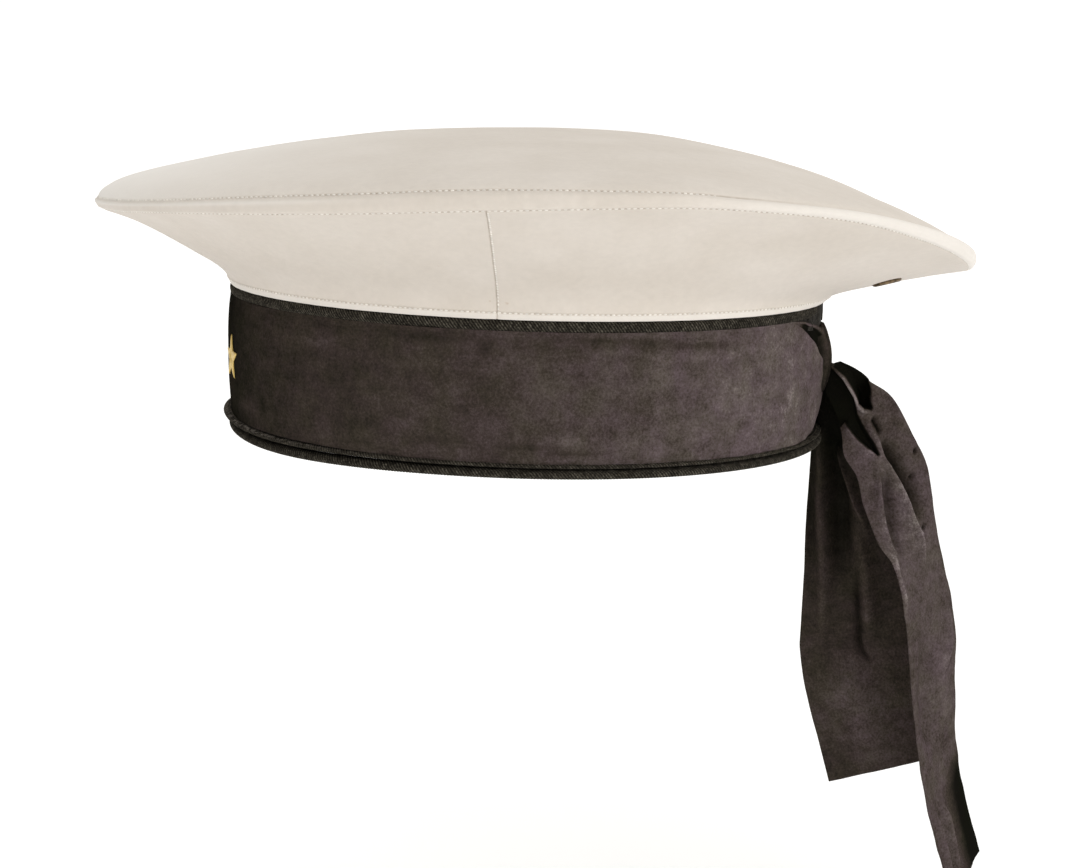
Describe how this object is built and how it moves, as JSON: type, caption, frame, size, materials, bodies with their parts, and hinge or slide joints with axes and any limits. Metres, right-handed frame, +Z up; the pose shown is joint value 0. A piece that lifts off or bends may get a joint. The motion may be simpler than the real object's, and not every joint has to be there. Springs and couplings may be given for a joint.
{
  "type": "sailor cap",
  "caption": "Wide soft white sailor cap on an upright black band, with ribbed piping and a charcoal tally ribbon tied at the rear into hanging tails.",
  "frame": {"origin": "centre of the head opening, in the plane of the band's lowest edge, where the cap sits on a head", "axes": "+Z up through the crown, +Y to the rear where the ribbon is tied, +X to the wearer's left"},
  "size_m": [0.2798, 0.3234, 0.2636],
  "materials": {
    "white_cotton": "matt off-white cotton drill",
    "black_cloth": "matt black wool cloth over a stiff band",
    "black_braid": "matt ribbed black braid",
    "charcoal_ribbon": "soft charcoal taffeta with a low sheen",
    "gold_thread": "gold thread with a low metallic sheen",
    "dark_brass": "aged dark brass"
  },
  "bodies": {
    "root": {"top_panel": "white_cotton", "rim_strip": "white_cotton", "side_panel_front_left": "white_cotton", "side_panel_front_right": "white_cotton", "side_panel_rear_left": "white_cotton", "side_panel_rear_right": "white_cotton", "head_band": "black_cloth", "top_piping": "black_braid", "bottom_piping": "black_braid", "tally_ribbon": "charcoal_ribbon", "ribbon_knot": "charcoal_ribbon", "ribbon_tail_short": "charcoal_ribbon", "ribbon_tail_long": "charcoal_ribbon", "star_left": "gold_thread", "star_right": "gold_thread", "vent_eyelet_left": "dark_brass", "vent_eyelet_right": "dark_brass"}
  },
  "joints": []
}
